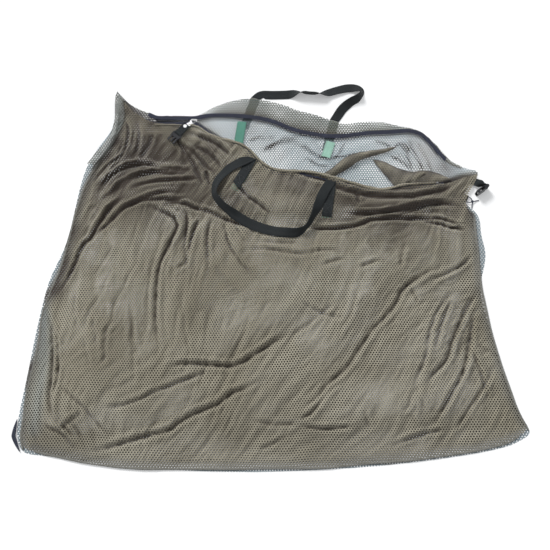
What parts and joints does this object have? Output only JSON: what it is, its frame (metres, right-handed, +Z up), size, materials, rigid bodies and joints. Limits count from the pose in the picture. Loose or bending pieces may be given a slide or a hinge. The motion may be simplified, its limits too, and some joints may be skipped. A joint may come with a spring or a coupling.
{
  "type": "carp sack",
  "caption": "Open-mesh fish retention sack laid flat with its zipped mouth pulled open, webbing carry handles, a side-release clip and a corded tie tab.",
  "frame": {"origin": "on the ground under the middle of the sack's bounds", "axes": "+X along the bottom edge, to the right in the picture; +Y from the bottom edge to the mouth; +Z up"},
  "size_m": [1.2364, 1.0096, 0.0663],
  "materials": {
    "mesh_pale": "open polyester mesh, pale inside face, matt",
    "mesh_khaki": "open polyester mesh, khaki, matt",
    "binding_teal": "seam roll of mesh, matt",
    "binding_navy": "woven binding, matt",
    "tape_navy": "woven zip tape, matt",
    "zip_teeth": "moulded rows, satin",
    "stop_metal": "satin",
    "slider_metal": "satin cast metal",
    "pull_metal": "bright",
    "webbing_black": "woven polypropylene webbing, slight sheen",
    "moulded_black": "moulded acetal, slight gloss",
    "cord_navy": "thin braided cord",
    "backing_green": "woven tape, green"
  },
  "bodies": {
    "sack": {"back_panel": "mesh_pale", "front_panel": "mesh_khaki", "left_side_seam": "binding_teal", "right_side_seam": "binding_teal", "bottom_seam": "binding_teal", "corner_binding": "binding_navy", "back_hem": "mesh_khaki", "front_hem": "mesh_khaki", "back_zip_tape": "tape_navy", "front_zip_tape": "tape_navy", "back_zip_teeth": "zip_teeth", "front_zip_teeth": "zip_teeth", "back_zip_stop": "stop_metal", "front_zip_stop": "stop_metal", "zip_left_stop": "stop_metal", "right_clip_strap": "webbing_black", "side_tab": "webbing_black", "tie_cord": "cord_navy", "tie_cord_return": "cord_navy", "tie_knot": "cord_navy", "front_handle_left_leg": "webbing_black", "front_handle_right_leg": "webbing_black", "back_handle_left_leg": "webbing_black", "back_handle_right_leg": "webbing_black", "back_left_tape": "backing_green", "back_right_tape": "backing_green", "front_left_tape": "backing_green", "front_right_tape": "backing_green"},
    "slider": {"zip_slider": "slider_metal"},
    "pull": {"zip_pull": "pull_metal", "clip_rivet": "pull_metal"},
    "strap": {"clip_strap": "webbing_black"},
    "male_half": {"male_buckle": "moulded_black"},
    "female_half": {"female_buckle": "moulded_black"},
    "front_handle": {"front_handle_loop": "webbing_black"},
    "back_handle": {"back_handle_loop": "webbing_black"}
  },
  "joints": [
    {"name": "zip_slide", "type": "slide", "parent": "sack", "child": "slider", "axis": [-0.9998, 0.0175, 0], "range_m": [0, 0.0918]},
    {"name": "pull_swing", "type": "hinge", "parent": "slider", "child": "pull", "pos_m": [-0.20538, 0.39374, 0.01037], "axis": [-0.6428, 0.766, 0], "range_deg": [0, 140]},
    {"name": "strap_swivel", "type": "hinge", "parent": "pull", "child": "strap", "pos_m": [-0.22781, 0.37492, 0.0119], "axis": [0.0401, 0.0336, 0.9986], "range_deg": [-35, 35]},
    {"name": "male_buckle_turn", "type": "hinge", "parent": "strap", "child": "male_half", "pos_m": [-0.24567, 0.35359, 0.01599], "axis": [-0.7659, 0.6429, 0.0091], "range_deg": [0, 90]},
    {"name": "female_buckle_turn", "type": "hinge", "parent": "sack", "child": "female_half", "pos_m": [0.54992, 0.20769, 0.0133], "axis": [0, 0, 1], "range_deg": [-8, 180]},
    {"name": "front_handle_lift", "type": "hinge", "parent": "sack", "child": "front_handle", "pos_m": [0.04844, 0.24183, 0.04353], "axis": [-0.9479, 0.3173, -0.0295], "range_deg": [0, 120]},
    {"name": "back_handle_lift", "type": "hinge", "parent": "sack", "child": "back_handle", "pos_m": [0.05925, 0.43039, 0.0008], "axis": [0.9549, -0.2969, 0], "range_deg": [0, 100]}
  ]
}
